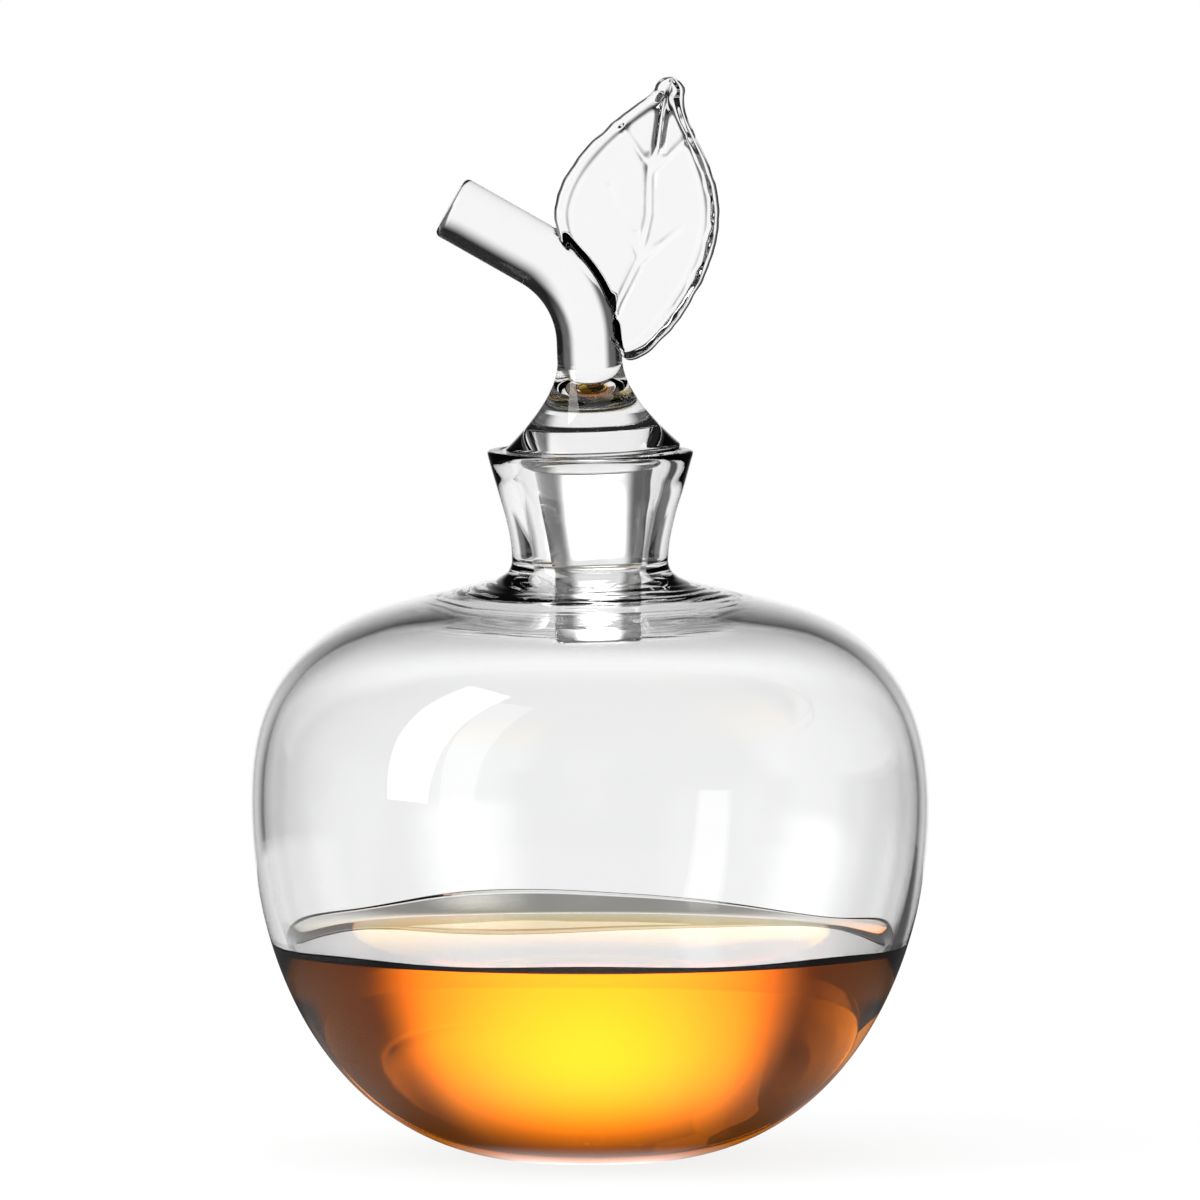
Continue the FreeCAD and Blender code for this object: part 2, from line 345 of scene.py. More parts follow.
lamps = [
    # name, degrees round from the front, degrees up, distance, width, height, power,
    # whether the glass mirrors it, whether it shows through the glass
    ("stripLeft", -64, 32, 1.4, 0.46, 1.7, 11, True, False),
    ("stripInside", -46, 30, 1.4, 0.34, 1.9, 3.2, False, True),
    ("overhead", 20, 80, 1.2, 1.0, 1.0, 4, False, False),
]


def makeLamp(name, azimuth, elevation, distance, width, height, power, mirrored, through):
    data = bpy.data.lights.new(name, "AREA")
    data.shape = "RECTANGLE"
    data.size, data.size_y = width, height
    data.energy = power
    lamp = bpy.data.objects.new(name, data)
    turn, lift = math.radians(azimuth), math.radians(elevation)
    toLamp = Vector((math.sin(turn) * math.cos(lift), -math.cos(turn) * math.cos(lift), math.sin(lift)))
    lamp.location = Vector((0, 0, studio["lampAim"])) + toLamp * distance
    lamp.rotation_euler = toLamp.to_track_quat("Z", "Y").to_euler()
    lamp.visible_camera = False
    lamp.visible_glossy = mirrored
    lamp.visible_transmission = through
    scene.collection.objects.link(lamp)


# profiles, as runs of smooth curves in the XZ plane

def at(radius, height):
    return Vector((radius * mm, 0, height * mm))


def step(angle, length):
    # this far, at an angle in degrees above level
    slope = math.radians(angle)
    return Vector((math.cos(slope), 0, math.sin(slope))) * (length * mm)


def run(start, handle, endHandle, end, count):
    return geometry.interpolate_bezier(start, handle, endHandle, end, count)


def joined(runs):
    line = []
    for points in runs:
        for place in points:
            if not line or (place - line[-1]).length > 1e-6:
                line.append(place)
    return line


def spun(profile, steps):
    shape = bmesh.new()
    verts = [shape.verts.new(place) for place in profile]
    edges = [shape.edges.new(pair) for pair in zip(verts, verts[1:])]
    bmesh.ops.spin(shape, geom=verts + edges, cent=(0, 0, 0), axis=(0, 0, 1),
                   angle=math.tau, steps=steps, use_merge=True)
    bmesh.ops.remove_doubles(shape, verts=shape.verts, dist=2e-6)
    bmesh.ops.recalc_face_normals(shape, faces=shape.faces)
    return shape


def finished(name, shape, material, node):
    mesh = bpy.data.meshes.new(name)
    shape.to_mesh(mesh)
    shape.free()
    mesh.shade_smooth()
    mesh.materials.append(material)
    piece = bpy.data.objects.new(name, mesh)
    scene.collection.objects.link(piece)
    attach(piece, "root")
    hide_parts(node)
    print(name, "faces", len(mesh.polygons))
    return piece


# glass

glass = {
    "tint": (0.985, 0.99, 0.988, 1),
    "ior": 1.5,
    "waveSize": 26.0,        # noise repeats per metre
    "waveDepth": 0.00006,
    "polish": 0.012,         # roughness, at most
    "polishFrom": (0.3, 0.8),  # levels of the noise between which it grows
}


def unmirrored(tree, surface):
    # where drink wets the glass there is next to nothing to mirror
    wet = tree.nodes.new("ShaderNodeAttribute")
    wet.attribute_name = "wet"
    mirror = tree.nodes.new("ShaderNodeMix")
    mirror.data_type = "RGBA"
    mirror.inputs["A"].default_value = (1, 1, 1, 1)
    mirror.inputs["B"].default_value = (0, 0, 0, 1)
    tree.links.new(wet.outputs["Fac"], mirror.inputs["Factor"])
    tree.links.new(mirror.outputs["Result"], surface.inputs["Specular Tint"])


def glassMaterial(name, waveSize, waveDepth):
    material = bpy.data.materials.new(name)
    material.use_nodes = True
    tree = material.node_tree
    surface = tree.nodes["Principled BSDF"]
    surface.inputs["Transmission Weight"].default_value = 1.0
    surface.inputs["IOR"].default_value = glass["ior"]
    place = tree.nodes.new("ShaderNodeTexCoord")
    waves = newNode(tree, "ShaderNodeTexNoise", Scale=waveSize, Detail=2.0, Roughness=0.4)
    tree.links.new(place.outputs["Object"], waves.inputs["Vector"])
    bump = newNode(tree, "ShaderNodeBump", Strength=1.0, Distance=waveDepth)
    tree.links.new(waves.outputs[0], bump.inputs["Height"])
    tree.links.new(bump.outputs["Normal"], surface.inputs["Normal"])
    tint = tree.nodes.new("ShaderNodeMix")
    tint.data_type = "RGBA"
    tint.inputs["A"].default_value = glass["tint"]
    tint.inputs["B"].default_value = (1, 1, 1, 1)
    tree.links.new(waves.outputs[0], tint.inputs["Factor"])
    tree.links.new(tint.outputs["Result"], surface.inputs["Base Color"])
    rough = ramp(tree, waves.outputs[0], *glass["polishFrom"], 0, glass["polish"])
    tree.links.new(rough, surface.inputs["Roughness"])
    unmirrored(tree, surface)
    return material


# bowl and neck

bowl = {
    "bellyHeight": 74.2,
    "footRadius": 20.8,
    "heelAngle": 9.0,
    "ringRadius": 30.0,
    "ringHeight": 121.2,
    "ringSlope": 18.7,
    "neckRadius": 16.7,
    "neckHeight": 128.1,
    "rimRadius": 22.25,
    "flare": 13.4,
    "rimRound": 0.9,
    "sideWall": 2.6,
    "shoulderGlass": 3.4,
    "baseGlass": 4.0,
    "heelGlass": 2.6,
    "puntRadius": 14.0,
    "puntDepth": 1.2,
    "boreRadius": 12.4,
    "boreHeight": 125.5,
    "mouthGlass": 2.85,
    "seatDepth": 5.5,
    "seatTaper": 23.0,
    "steps": 200,
    "outsideSeed": 0.0,      # where the noise starts on either side of the wall
    "insideSeed": 3.0,
    # uneven blowing: its depth is in mm, the other distances in metres
    "sag": 0.16,
    "sagSize": 17,           # noise repeats per metre
    "sagTop": 0.132,         # none of it above this height
    "sagFade": 0.02,
    "calmRadius": 0.03,      # and less of it within this radius
    # the shoulder is fuller, most at the left: again mm and then metres
    "fuller": 1.0,
    "fullerHeight": 0.099,
    "fullerSpread": 0.021,
    "fullerEven": 0.6,       # average share round the bowl
    # faint rings low on the outside, in mm
    "foldDepth": 0.035,
    "foldPitch": 3.1,
    "foldHeight": 14,
    "foldSpread": 8,
    "foldEnd": 2.5,          # nothing is left this many spreads away
    "foldSize": 45,          # noise repeats per metre
    "foldEven": 0.4,         # share of the depth that stays, and what the noise adds
    "foldUneven": 1.4,
    # rings that the jack left round the neck's root, in mm
    "rippleDepth": 0.13,
    "ripplePitch": 2.7,
    "rippleRadius": 25,
    "rippleSpread": 8,
    "rippleEnd": 3,
    "rippleAbove": 0.1,      # in metres
    "rippleSize": 60,
    "rippleTwist": 0.9,      # how far the noise bends the rings, in pitches
    "rippleEven": 0.7,
    "rippleUneven": 1.3,
    "wetAbove": 0.001,       # how far over the level the wall counts as wet, in metres
    "puntHandles": ((6, 0), (-3, 0.5)),
    "baseRings": (0, 6, 12),
    "mouthRound": 0.6,
    "mouthHandle": 0.25,
    # lengths of the curves' handles, as shares
    "heelReach": 0.70,
    "sideReach": 0.43,
    "shoulderReach": 0.94,
    "crownReach": 0.21,
    "rootInward": 0.45,
    "rootUpward": 0.72,
    "flareReach": 0.3,
    "seatReach": 0.35,
    "cornerReach": 0.4,      # of a rounded edge, from its corner
}
rim = rimHeight / mm
belly = bellyRadius / mm


def bowlRuns(flat, widest, dome):
    # heel and side up to the widest ring, then the shoulder up to the dome's ring
    reach, rise = widest.x - flat.x, widest.z - flat.z
    heel = flat + step(bowl["heelAngle"], bowl["heelReach"] * reach / mm)
    lower = run(flat, heel, widest - Vector((0, 0, bowl["sideReach"] * rise)), widest, 46)
    shoulder = widest + Vector((0, 0, bowl["shoulderReach"] * (dome.z - widest.z)))
    crown = dome + step(-bowl["ringSlope"], bowl["crownReach"] * (widest.x - dome.x) / mm)
    return [lower, run(widest, shoulder, crown, dome, 44)]


def neckRoot(dome, throat, count):
    inward = dome + step(180 - bowl["ringSlope"], bowl["rootInward"] * (dome.x - throat.x) / mm)
    below = throat - Vector((0, 0, bowl["rootUpward"] * (throat.z - dome.z)))
    return run(dome, inward, below, throat, count)


def outerProfile():
    foot = at(bowl["footRadius"], 0)
    dome = at(bowl["ringRadius"], bowl["ringHeight"])
    throat = at(bowl["neckRadius"], bowl["neckHeight"])
    lip = at(bowl["rimRadius"], rim)
    flare = step(90 - bowl["flare"], bowl["flareReach"] * (rim - bowl["neckHeight"]))
    edge = lip - step(90 - bowl["flare"], bowl["rimRound"])
    top = lip - at(bowl["rimRound"], 0)
    puntEdge, puntTop = at(bowl["puntRadius"], 0), at(0, bowl["puntDepth"])
    level, slant = bowl["puntHandles"]
    corner = bowl["cornerReach"]
    return [
        run(puntTop, puntTop + at(*level), puntEdge + at(*slant), puntEdge, 12),
        [puntEdge, (puntEdge + foot) / 2, foot],
        *bowlRuns(foot, at(belly, bowl["bellyHeight"]), dome),
        neckRoot(dome, throat, 20),
        run(throat, throat + Vector((0, 0, flare.z)), edge - flare, edge, 20),
        run(edge, lip - (lip - edge) * corner, lip - (lip - top) * corner, top, 6),
    ]


def innerProfile():
    slope = math.radians(bowl["ringSlope"])
    level = at(bowl["footRadius"] - bowl["heelGlass"], bowl["baseGlass"])
    dome = at(bowl["ringRadius"], bowl["ringHeight"] - bowl["shoulderGlass"] / math.cos(slope))
    throat = at(bowl["boreRadius"], bowl["boreHeight"])
    mouthRadius = bowl["rimRadius"] - bowl["mouthGlass"]
    mouth = at(mouthRadius, rim)
    taper = math.radians(bowl["seatTaper"])
    seat = at(mouthRadius - bowl["seatDepth"] * math.tan(taper), rim - bowl["seatDepth"])
    rise = bowl["seatReach"] * (seat.z - throat.z) / mm
    slant = step(90 - bowl["seatTaper"], rise)
    edge = mouth - step(90 - bowl["seatTaper"], bowl["mouthRound"])
    corner = mouth - (mouth - edge) * bowl["cornerReach"]
    over = mouth + at(bowl["mouthRound"], 0)
    return [
        [*(at(radius, bowl["baseGlass"]) for radius in bowl["baseRings"]), level],
        *bowlRuns(level, at(belly - bowl["sideWall"], bowl["bellyHeight"]), dome),
        neckRoot(dome, throat, 20),
        run(throat, throat + at(0, rise), seat - slant, seat, 18),
        run(seat, seat.lerp(edge, 0.33), seat.lerp(edge, 0.66), edge, 8),
        run(edge, corner, mouth + at(bowl["mouthHandle"], 0), over, 6),
    ]


def blown(place, seed):
    # slow unevenness of hand work, and the tool's rings near the neck's root
    radius = math.hypot(place.x, place.y)
    if radius < 1e-5:
        return place
    outward = Vector((place.x / radius, place.y / radius, 0))
    slow = noise.noise(place * bowl["sagSize"] + Vector((seed, 0, 0))) * bowl["sag"] * mm
    slow *= min(1, radius / bowl["calmRadius"]) * min(1, max(0, (bowl["sagTop"] - place.z) / bowl["sagFade"]))
    full = bowl["fuller"] * mm * math.exp(-((place.z - bowl["fullerHeight"]) / bowl["fullerSpread"]) ** 2)
    full *= min(1, radius / bowl["calmRadius"])
    slow += full * (bowl["fullerEven"] - (1 - bowl["fullerEven"]) * place.x / radius)
    moved = place + outward * slow
    across = (radius / mm - bowl["rippleRadius"]) / bowl["rippleSpread"]
    low = (place.z / mm - bowl["foldHeight"]) / bowl["foldSpread"]
    if seed == bowl["outsideSeed"] and abs(low) < bowl["foldEnd"]:
        wobble = noise.noise(place * bowl["foldSize"] + Vector((9, 2, 0)))
        fold = bowl["foldDepth"] * mm * math.exp(-low * low)
        fold *= bowl["foldEven"] + bowl["foldUneven"] * wobble
        fold *= max(0, -place.y / radius)
        moved += outward * fold * math.sin(math.tau * (place.z / mm / bowl["foldPitch"] + wobble))
    if place.z > bowl["rippleAbove"] and abs(across) < bowl["rippleEnd"]:
        wobble = noise.noise(place * bowl["rippleSize"] + Vector((seed, 5, 0)))
        turn = (radius / mm) / bowl["ripplePitch"] + bowl["rippleTwist"] * wobble + seed
        depth = bowl["rippleDepth"] * mm * math.exp(-across * across)
        depth *= bowl["rippleEven"] + bowl["rippleUneven"] * wobble
        moved.z += depth * math.sin(math.tau * turn)
    return moved


def makeBowl():
    outer = joined(outerProfile())
    profile = joined([outer, list(reversed(joined(innerProfile())))])
    nodes = kdtree.KDTree(len(profile))
    for index, place in enumerate(profile):
        nodes.insert(place, index)
    nodes.balance()
    shape = spun(profile, bowl["steps"])
    wet = shape.verts.layers.float.new("wet")
    for vert in shape.verts:
        radius = math.hypot(vert.co.x, vert.co.y)
        inside = nodes.find((radius, 0, vert.co.z))[1] >= len(outer)
        vert[wet] = 1.0 if inside and vert.co.z < drinkHigh.z + bowl["wetAbove"] else 0.0
        vert.co = blown(vert.co, bowl["insideSeed"] if inside else bowl["outsideSeed"])
    return finished("glassBowl", shape, glassMaterial("blownGlass", glass["waveSize"], glass["waveDepth"]),
                    "bottle")


# drink, which reaches just into the wall and creeps up it

drink = {
    "intoWall": 0.25,
    "topGap": 0.0004,        # in metres, between the wall's top point and the one below
    "surfaceRings": 8,
    "creep": 6.0,            # highest climb up the wall
    "creepReach": 3.0,       # how far in from the wall
    "creepTop": (0.8, 1.6),  # the curve's handles, at the wall
    "creepFoot": 0.9,        # and at the level surface
    "creepThin": 0.45,       # share of the reach where it hardly climbs
    "creepLow": 0.22,        # share of the highest climb that is left elsewhere
    "waver": 0.05,           # and how much that share wavers, seven times round
    # where it climbs: degrees round from the right, width in degrees, share
    "climbs": [(100, 34, 0.66), (14, 15, 0.24), (160, 24, 0.20)],
    "ior": 1.36,
    "mirror": (0.1, 0.1, 0.1, 1),
    "tint": (1, 0.985, 0.96, 1),
    "swirlSize": 30.0,       # noise repeats per metre
    "density": 70.0,
    "colour": (0.993, 0.779, 0.0, 1),
}


def wallFor(height):
    # the inside wall up to a height, pushed a little into the glass
    line = joined(innerProfile()[:2])
    pushed = []
    for index, place in enumerate(line):
        before, after = line[max(0, index - 1)], line[min(len(line) - 1, index + 1)]
        along = (after - before).normalized()
        pushed.append(place + Vector((along.z, 0, -along.x)) * drink["intoWall"] * mm)
    pushed[0].x = 0
    kept = [place for place in pushed if place.z < height - drink["topGap"]]
    nextUp = pushed[len(kept)]
    share = (height - kept[-1].z) / (nextUp.z - kept[-1].z)
    return kept + [kept[-1].lerp(nextUp, share)]


def climb(turn):
    share = drink["creepLow"]
    for middle, width, height in drink["climbs"]:
        off = (turn - middle + 180) % 360 - 180
        share += height * math.exp(-(off / width) ** 2)
    return share + drink["waver"] * math.sin(math.radians(7 * turn))


def wallRadius(line, height):
    for low, high in zip(line, line[1:]):
        if low.z <= height <= high.z:
            return low.lerp(high, (height - low.z) / max(1e-9, high.z - low.z)).x
    return line[-1].x


def makeDrink():
    level = drinkHigh.z
    wall = wallFor(level + drink["creep"] * mm)
    top = wall[-1]
    shore = wallRadius(wall, level)
    flat = Vector((shore - drink["creepReach"] * mm, 0, level))
    creep = run(top, top - at(*drink["creepTop"]), flat + at(drink["creepFoot"], 0), flat, 28)
    rings, middle = drink["surfaceRings"], Vector((0, 0, level))
    surface = [flat.lerp(middle, ring / rings) for ring in range(1, rings + 1)]
    shape = spun(joined([wall, creep, surface]), bowl["steps"])
    for vert in shape.verts:
        radius = math.hypot(vert.co.x, vert.co.y)
        rise = vert.co.z - level
        if rise > 1e-6 and radius > flat.x:
            share = climb(math.degrees(math.atan2(vert.co.y, vert.co.x)))
            fromWall = wallRadius(wall, vert.co.z) - radius
            fromWall *= drink["creepThin"] + (1 - drink["creepThin"]) * share
            height = level + rise * share
            closer = (wallRadius(wall, height) - fromWall) / radius
            vert.co = Vector((vert.co.x * closer, vert.co.y * closer, height))
        vert.co = blown(vert.co, bowl["insideSeed"])
    return finished("amberDrink", shape, drinkMaterial(), "drink")


def drinkMaterial():
    material = bpy.data.materials.new("amberDrink")
    material.use_nodes = True
    tree = material.node_tree
    surface = tree.nodes["Principled BSDF"]
    surface.inputs["Transmission Weight"].default_value = 1.0
    surface.inputs["IOR"].default_value = drink["ior"]
    surface.inputs["Roughness"].default_value = 0.0
    surface.inputs["Specular Tint"].default_value = drink["mirror"]
    place = tree.nodes.new("ShaderNodeTexCoord")
    swirl = newNode(tree, "ShaderNodeTexNoise", Scale=drink["swirlSize"], Detail=2.0)
    tree.links.new(place.outputs["Object"], swirl.inputs["Vector"])
    clear = tree.nodes.new("ShaderNodeMix")
    clear.data_type = "RGBA"
    clear.inputs["A"].default_value = drink["tint"]
    clear.inputs["B"].default_value = (1, 1, 1, 1)
    tree.links.new(swirl.outputs[0], clear.inputs["Factor"])
    tree.links.new(clear.outputs["Result"], surface.inputs["Base Color"])
    body = newNode(tree, "ShaderNodeVolumeAbsorption", Color=drink["colour"], Density=drink["density"])
    tree.links.new(body.outputs[0], tree.nodes["Material Output"].inputs["Volume"])
    return material


# stopper: plug, collar and bell turned, branch bent, leaf pressed on

stopper = {
    "shift": 0.6,
    "lean": 2.0,
    "collarRadius": 18.6,
    "collarEdge": 1.0,
    "collarUnder": 4.2,
    "plugRadius": 13.2,
    "plugEndRadius": 9.3,
    "plugLength": 37.2,
    "plugEndRound": 1.3,
    "bellHeight": 19.0,
    "bellSlope": 42.0,
    "branchRadius": 7.0,
    "branchRise": 4.4,
    "bendRadius": 22.3,
    "bendAngle": 58.4,
    "branchReach": 21.3,
    "cutRound": 1.4,
    "steps": 112,
    "waveSize": 40.0,        # noise repeats per metre
    "waveDepth": 0.00004,
    "plugSlope": 78,         # degrees above level, where the plug meets the collar's underside
    # lengths of the curves' handles: shares, and then mm
    "plugReach": 0.4,
    "collarReach": 0.5,
    "bellReach": (0.3, 0.1),  # of how much the bell narrows, and of its height
    "bellTopReach": 0.34,
    "endHandle": 0.7,
    "underHandle": 2.4,
    "edgeHandle": (0.12, 0.35),
    "bendSteps": 26,
    "reachSteps": 8,
    "cutSteps": 6,
    "cutFace": [(0.00005, 0.8), (0.00005, 0.6)],  # rise in metres and size of its rings
    "seamRings": 3,          # how wide the leaf's seam is softened, and how often
    "seamTurns": 12,
    "seamAngle": -0.6,       # hollow edges sharper than this, in radians, are the leaf's seam
    "sharpFrom": 48,         # degrees
}
leafForm = {
    "length": 61.3,
    "right": 15.3,
    "left": 20.2,
    "widest": 29.5,
    "tipRadius": 3.2,
    # handles of the outline: the first, along and across, and the one before the widest place, as shares
    "rightStart": (-0.05, 0.27),
    "leftStart": (0.06, 0.25),
    "rightLow": 0.5,
    "leftLow": 0.75,
    "rightNeck": 7,          # past the middle of the upper part
    "leftNeck": 1.6,         # before the tip's rounding
    "upper": 0.5,
    "tipReach": 0.55,
    "runEnds": (0.45, 0.93),  # where the outline's runs end, as shares of the way to the tip
    "lean": 11.7,
    "offset": 0.4,
    "rise": 0.8,
    "forward": 2.5,
    "rimThick": 6.0,
    "panelThick": 4.4,
    "rimWidth": 1.7,
    "edgeRound": 1.1,
    "slantLeft": 1.1,        # width of the slanted back of the edge
    "slantRight": 1.9,
    "slantPower": 0.9,
    "unevenDepth": 0.45,     # of the slant, with its noise repeats per mm
    "unevenSize": 0.30,
    "rimStart": 1.2,         # the raised rim is full up to here from the edge
    "waveDepth": 0.35,       # slow wave of both faces
    "waveSize": 0.09,
    "crimpDepth": 0.25,      # of the outline
    "crimpSize": 0.35,
    "backShare": 0.45,       # how much of a crease shows on the back
    "creaseStart": 3,        # creases are full from here on from the edge
    "faint": 1.3,            # creases shallower than this fade along their length
    "fadeShare": 0.65,
    "lengthSteps": 170,
    "roundSteps": 190,
}


def rodProfile():
    s = stopper
    edgeLow = at(s["collarRadius"], rim)
    edgeHigh = at(s["collarRadius"], rim + s["collarEdge"])
    under = at(s["plugRadius"], rim - s["collarUnder"])
    end = rim - s["plugLength"]
    side = at(s["plugEndRadius"], end + s["plugEndRound"])
    tip = at(s["plugEndRadius"] - s["plugEndRound"], end)
    bellTop = at(s["branchRadius"], rim + s["bellHeight"])
    narrowing, height = s["bellReach"]
    bellRun = narrowing * (s["collarRadius"] - s["branchRadius"]) + height * s["bellHeight"]
    plugRun = s["plugReach"] * (under.z - side.z) / mm
    seatRun = step(90 - bowl["seatTaper"], s["collarReach"] * s["collarUnder"])
    out, up = s["edgeHandle"]
    bendStart = at(s["branchRadius"], rim + s["bellHeight"] + s["branchRise"])
    return joined([
        [at(0, end), tip.lerp(at(0, end), 0.5), tip],
        run(tip, tip + at(s["endHandle"], 0), side - at(0, s["endHandle"]), side, 7),
        run(side, side + at(0, plugRun), under - step(s["plugSlope"], plugRun), under, 26),
        run(under, under + at(s["underHandle"], 0), edgeLow - seatRun, edgeLow, 12),
        run(edgeLow, edgeLow + at(out, up), edgeHigh + at(out, -up), edgeHigh, 6),
        run(edgeHigh, edgeHigh + step(180 - s["bellSlope"], bellRun),
            bellTop - at(0, s["bellTopReach"] * s["bellHeight"]), bellTop, 30),
        run(bellTop, bellTop.lerp(bendStart, 0.3), bellTop.lerp(bendStart, 0.7), bendStart, 5),
    ])


def openEnd(shape):
    return [edge for edge in shape.edges if edge.is_boundary]


def makeRod():
    s = stopper
    profile = rodProfile()
    shape = spun(profile, s["steps"])
    rise = profile[-1].z
    hub = Vector((-s["bendRadius"] * mm, 0, rise))
    edges = openEnd(shape)
    ring = list({vert for edge in edges for vert in edge.verts})
    bmesh.ops.spin(shape, geom=ring + edges, cent=hub, axis=(0, -1, 0),
                   angle=math.radians(s["bendAngle"]), steps=s["bendSteps"])
    ahead = step(90 + s["bendAngle"], 1).normalized()
    corner = s["cutRound"] * mm
    straight = (s["branchReach"] - s["cutRound"]) * mm
    moves = [(straight / s["reachSteps"], 1.0)] * s["reachSteps"]
    size = s["branchRadius"] * mm
    each = 90 / s["cutSteps"]
    for part in range(1, s["cutSteps"] + 1):
        turn, last = math.radians(each * part), math.radians(each * (part - 1))
        radius = size - corner + corner * math.cos(turn)
        before = size - corner + corner * math.cos(last)
        moves.append((corner * (math.sin(turn) - math.sin(last)), radius / before))
    moves += s["cutFace"]
    for distance, shrink in moves:
        edges = openEnd(shape)
        made = bmesh.ops.extrude_edge_only(shape, edges=edges)["geom"]
        fresh = [item for item in made if isinstance(item, bmesh.types.BMVert)]
        middle = sum((vert.co for vert in fresh), Vector()) / len(fresh)
        for vert in fresh:
            vert.co = middle + (vert.co - middle) * shrink + ahead * distance
    cap = bmesh.ops.holes_fill(shape, edges=openEnd(shape), sides=0)["faces"]
    bmesh.ops.poke(shape, faces=cap)
    bmesh.ops.recalc_face_normals(shape, faces=shape.faces)
    return shape


def leafSide(side):
    # one side of the outline from base to tip, as three runs with where each ends
    f = leafForm
    tip = f["length"] - f["tipRadius"]
    half = f["widest"] + f["upper"] * (tip - f["widest"])
    if side > 0:
        wing, (along, across), low, neck = f["right"], f["rightStart"], f["rightLow"], half + f["rightNeck"]
    else:
        wing, (along, across), low, neck = -f["left"], f["leftStart"], f["leftLow"], tip - f["leftNeck"]
    start, wide = (along * f["length"], across * wing), (f["widest"], wing)
    shoulder = (tip, side * f["tipRadius"])
    bulge = (tip + f["tipReach"] * f["tipRadius"], side * f["tipRadius"])
    point = (f["length"], side * f["tipReach"] * f["tipRadius"])
    first, second = f["runEnds"]
    return [
        (first, (0, 0), start, (low * f["widest"], wing), wide),
        (second, wide, (half, wing), (neck, side * f["tipRadius"]), shoulder),
        (1.0, shoulder, bulge, point, (f["length"], 0)),
    ]


def onChain(chain, share):
    begin = 0.0
    for end, first, second, third, last in chain:
        if share <= end or end == 1.0:
            t = min(1, max(0, (share - begin) / (end - begin)))
            weights = ((1 - t) ** 3, 3 * (1 - t) ** 2 * t, 3 * (1 - t) * t * t, t ** 3)
            points = (first, second, third, last)
            return Vector((sum(w * p[0] for w, p in zip(weights, points)),
                           sum(w * p[1] for w, p in zip(weights, points))))
        begin = end


# creases pressed into the leaf: from, to (along, across), half width, depth
creases = [
    ((9.0, -4.0), (21.5, -0.4), 1.15, 1.4),
    ((21.5, -0.4), (31.0, 0.0), 1.2, 1.5),
    ((31.0, 0.0), (41.0, -1.6), 1.2, 1.45),
    ((41.0, -1.6), (47.0, -0.4), 1.15, 1.5),
    ((46.0, -0.6), (56.5, -1.0), 1.2, 1.9),
    ((22.0, -0.6), (35.5, -9.6), 1.0, 1.25),
    ((21.0, 0.0), (29.5, 7.2), 1.0, 1.25),
    ((41.5, -1.8), (48.5, -8.4), 1.0, 1.25),
    ((40.5, -0.8), (49.0, 5.4), 1.0, 1.25),
]


def pressed(along, across):
    depth = 0.0
    spot = Vector((along, across))
    for start, end, width, deep in creases:
        line = Vector(end) - Vector(start)
        share = min(1, max(0, (spot - Vector(start)).dot(line) / line.length_squared))
        off = (spot - Vector(start) - line * share).length
        fade = 1 - leafForm["fadeShare"] * share if deep < leafForm["faint"] else 1
        depth = max(depth, deep * fade * math.exp(-(off / width) ** 2))
    return depth


def makeLeaf():
    f = leafForm
    shape = bmesh.new()
    bmesh.ops.create_uvsphere(shape, u_segments=f["roundSteps"], v_segments=f["lengthSteps"], radius=1)
    rightSide, leftSide = leafSide(1), leafSide(-1)
    base = at(stopper["branchRadius"] + f["offset"], rim + stopper["bellHeight"] + f["rise"])
    base.y = -f["forward"] * mm
    upward, sideways = step(90 - f["lean"], 1), step(-f["lean"], 1)
    for vert in shape.verts:
        share = math.acos(max(-1, min(1, -vert.co.z))) / math.pi
        ring = math.hypot(vert.co.x, vert.co.y)
        across = vert.co.x / ring if ring > 1e-6 else 0
        front = vert.co.y < 0
        left, right = onChain(leftSide, share), onChain(rightSide, share)
        place = left.lerp(right, (across + 1) / 2)
        halfWidth = (right - left).length / 2
        inward = halfWidth * (1 - abs(across))
        spot = Vector((place.x, place.y, 0))
        uneven = 1 + f["unevenDepth"] * noise.noise((spot + Vector((0, 0, 11))) * f["unevenSize"])
        slant = (f["slantRight"] if across > 0 else f["slantLeft"]) * uneven
        edge = min(1, inward / (f["edgeRound"] if front else slant))
        if front:
            rounding = math.sqrt(max(0, 1 - (1 - edge) ** 2))
        else:
            rounding = math.sin(edge * math.pi / 2) ** f["slantPower"]
        bead = math.exp(-(max(0, inward - f["rimStart"]) / f["rimWidth"]) ** 2)
        thick = f["panelThick"] + (f["rimThick"] - f["panelThick"]) * bead
        layer = Vector((0, 0, 7 if front else 1))
        wave = f["waveDepth"] * noise.noise((spot + layer) * f["waveSize"])
        crimp = f["crimpDepth"] * noise.noise((spot + Vector((0, 0, 3))) * f["crimpSize"]) * (1 - edge)
        side = 1.0 if front else f["backShare"]
        depth = pressed(place.x, place.y) * side * min(1, inward / f["creaseStart"])
        out = (thick / 2 + wave) * rounding - depth
        place = place + (place - (left + right) / 2).normalized() * crimp if ring > 1e-6 else place
        vert.co = base + upward * place.x + sideways * place.y + Vector((0, (-out if front else out) * mm, 0))
    bmesh.ops.remove_doubles(shape, verts=shape.verts, dist=1e-6)
    bmesh.ops.recalc_face_normals(shape, faces=shape.faces)
    return shape


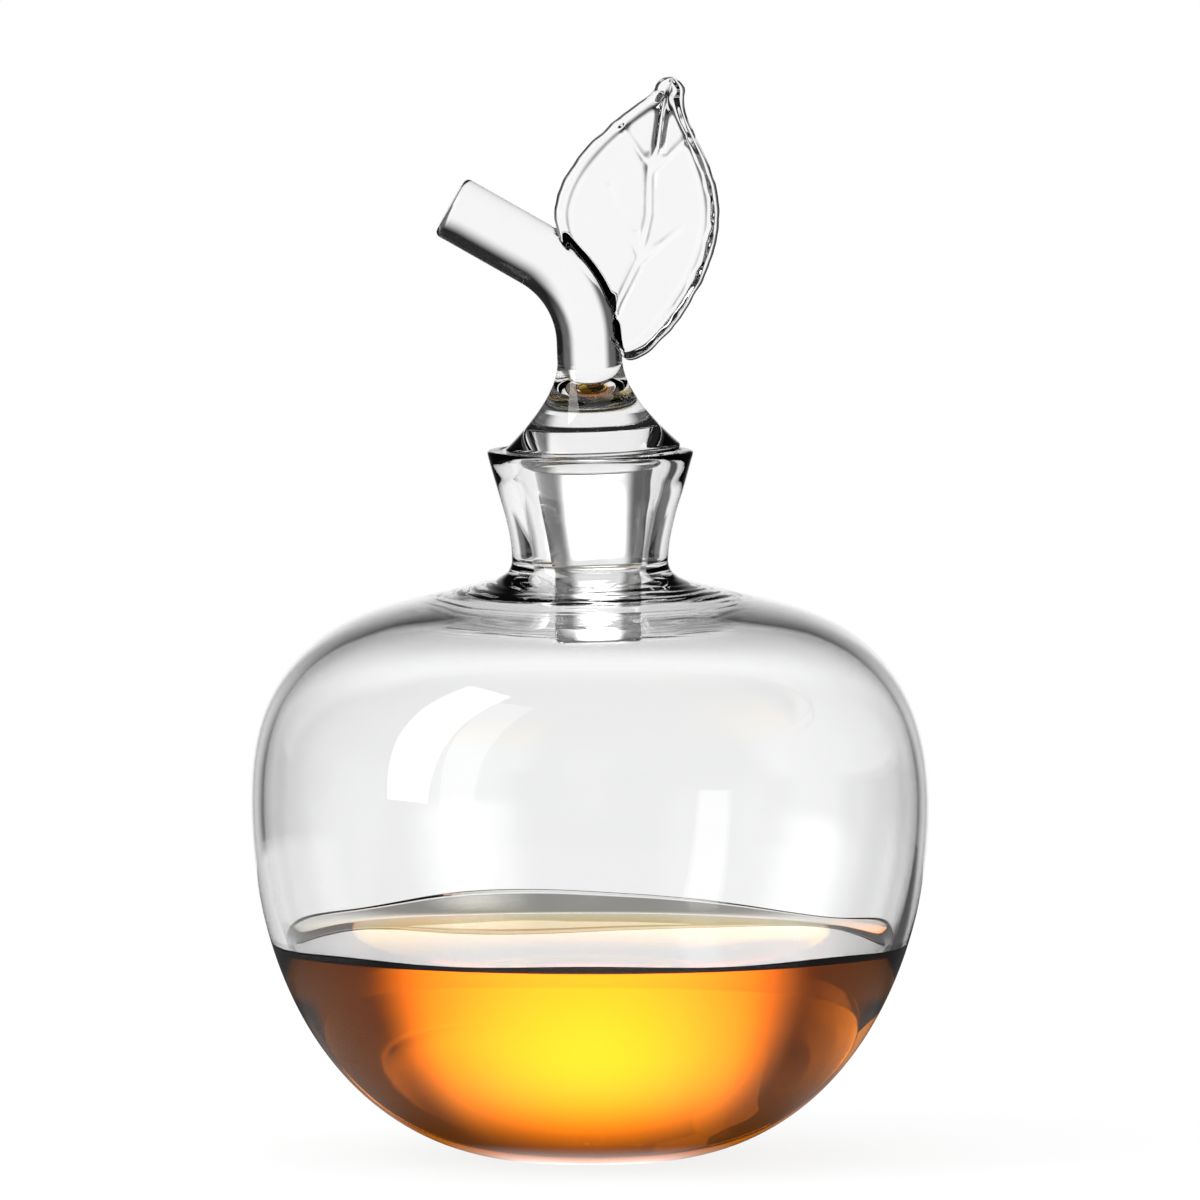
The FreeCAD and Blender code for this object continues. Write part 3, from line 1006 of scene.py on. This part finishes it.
def plainObject(name, shape):
    mesh = bpy.data.meshes.new(name)
    shape.to_mesh(mesh)
    shape.free()
    item = bpy.data.objects.new(name, mesh)
    scene.collection.objects.link(item)
    return item


def softenJoint(shape):
    # the hollow line where leaf meets branch, melted together
    top = (rim + stopper["bellHeight"]) * mm
    hollows = [edge for edge in shape.edges
               if len(edge.link_faces) == 2 and edge.calc_face_angle_signed(0) < stopper["seamAngle"]]
    seam = {vert for edge in hollows for vert in edge.verts if vert.co.z > top}
    for ring in range(stopper["seamRings"]):
        seam |= {edge.other_vert(vert) for vert in seam for edge in vert.link_edges}
    for turn in range(stopper["seamTurns"]):
        bmesh.ops.smooth_vert(shape, verts=list(seam), factor=0.5,
                              use_axis_x=True, use_axis_y=True, use_axis_z=True)
    print("joint softened at", len(seam), "places")


def makeStopper():
    rod = plainObject("rod", makeRod())
    leaf = plainObject("leaf", makeLeaf())
    fuse = rod.modifiers.new("fuse", "BOOLEAN")
    fuse.operation = "UNION"
    fuse.solver = "EXACT"
    fuse.object = leaf
    bpy.context.view_layer.update()
    ready = bpy.data.meshes.new_from_object(rod.evaluated_get(bpy.context.evaluated_depsgraph_get()))
    shape = bmesh.new()
    shape.from_mesh(ready)
    for item in (rod, leaf):
        bpy.data.objects.remove(item)
    bmesh.ops.remove_doubles(shape, verts=shape.verts, dist=2e-6)
    softenJoint(shape)
    pivot = Vector((0, 0, rimHeight))
    lean = Matrix.Rotation(math.radians(-stopper["lean"]), 3, "Y")
    bmesh.ops.rotate(shape, verts=shape.verts, cent=pivot, matrix=lean)
    bmesh.ops.translate(shape, verts=shape.verts, vec=(stopper["shift"] * mm, 0, 0))
    clear = glassMaterial("solidGlass", stopper["waveSize"], stopper["waveDepth"])
    piece = finished("glassStopper", shape, clear, "stopper")
    piece.data.set_sharp_from_angle(angle=math.radians(stopper["sharpFrom"]))
    return piece


makeCamera()
makeWorld()
makeFloor()
for lamp in lamps:
    makeLamp(*lamp)
print("studio ready")
makeBowl()
makeDrink()
makeStopper()
print("pieces ready")
